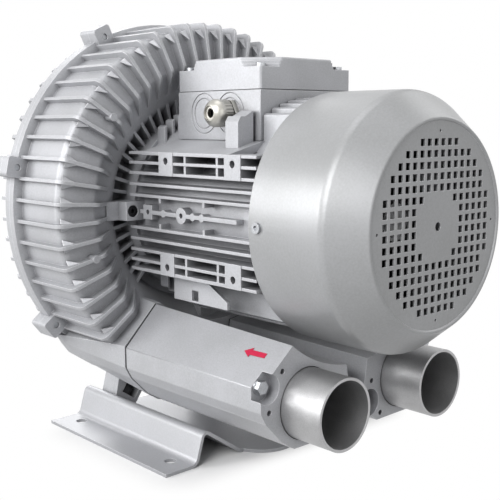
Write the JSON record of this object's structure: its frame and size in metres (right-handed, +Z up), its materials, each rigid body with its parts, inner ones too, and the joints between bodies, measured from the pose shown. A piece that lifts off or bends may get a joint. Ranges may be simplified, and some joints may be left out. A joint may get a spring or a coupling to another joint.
{
  "type": "side channel blower",
  "caption": "Side channel blower with a flanged finned motor, ribbed ring housing, two under-slung silencers with pipe stubs and a bent sheet foot.",
  "frame": {"origin": "on the floor at the centre of the four foot holes", "axes": "+Z up; +Y along the motor axis from the fan cowl to the blower housing; +X to the right seen from the fan cowl"},
  "size_m": [0.4756, 0.5073, 0.5189],
  "materials": {
    "silver_paint": "satin stove enamel on sheet steel",
    "painted_casting": "die cast aluminium under satin stove enamel",
    "nickel_brass": "nickel plated brass, turned and knurled",
    "bare_aluminium": "machined or die cast, uncoated",
    "zinc_steel": "bright zinc plated steel",
    "dark_steel": "oiled black oxide steel",
    "shaft_steel": "ground carbon steel",
    "bearing_steel": "ground and polished",
    "laminations": "stacked electrical steel sheets",
    "copper": "varnished copper wire",
    "brass": "turned",
    "rubber": "moulded",
    "black_plastic": "glass filled polyamide",
    "foam": "open cell acoustic foam"
  },
  "bodies": {
    "frame": {"foot_bracket": "silver_paint", "foot_bolts": "dark_steel", "foot_nuts": "dark_steel", "rear_housing": "painted_casting", "front_cover": "painted_casting", "cover_screws": "zinc_steel", "shaft_seal": "rubber", "drive_bearing_outer": "bearing_steel", "fan_bearing_outer": "bearing_steel", "drive_end_shield": "bare_aluminium", "fan_end_shield": "painted_casting", "wave_washer": "shaft_steel", "shield_screws": "dark_steel", "stator_frame": "painted_casting", "flange_bolts": "dark_steel", "stator_core": "laminations", "stator_winding": "copper", "fan_cowl": "silver_paint", "cowl_screws": "zinc_steel", "terminal_box": "painted_casting", "box_screws": "zinc_steel", "box_gasket": "rubber", "box_lid": "painted_casting", "lid_screws": "zinc_steel", "terminal_board": "black_plastic", "terminal_studs": "brass", "terminal_nuts": "brass", "gland_body": "nickel_brass", "gland_cap": "nickel_brass", "gland_nut": "nickel_brass", "silencer_left": "painted_casting", "silencer_right": "painted_casting", "silencer_gasket_left": "rubber", "silencer_gasket_right": "rubber", "tie_bolts": "zinc_steel", "pipe_stub_left": "bare_aluminium", "pipe_stub_right": "bare_aluminium", "pipe_seals": "rubber", "mesh_tube_left": "shaft_steel", "mesh_tube_right": "shaft_steel", "foam_sleeve_left": "foam", "foam_sleeve_right": "foam"},
    "rotor": {"impeller": "bare_aluminium", "impeller_key": "shaft_steel", "impeller_washer": "shaft_steel", "impeller_bolt": "dark_steel", "shaft_sleeve": "shaft_steel", "shaft": "shaft_steel", "drive_bearing_inner": "bearing_steel", "fan_bearing_inner": "bearing_steel", "rotor_core": "laminations", "rotor_cage": "bare_aluminium", "cooling_fan": "black_plastic", "fan_circlip": "shaft_steel"}
  },
  "joints": [
    {"name": "rotor_spin", "type": "hinge", "parent": "frame", "child": "rotor", "pos_m": [0, 0, 0.288], "axis": [0, 1, 0], "continuous": true}
  ]
}
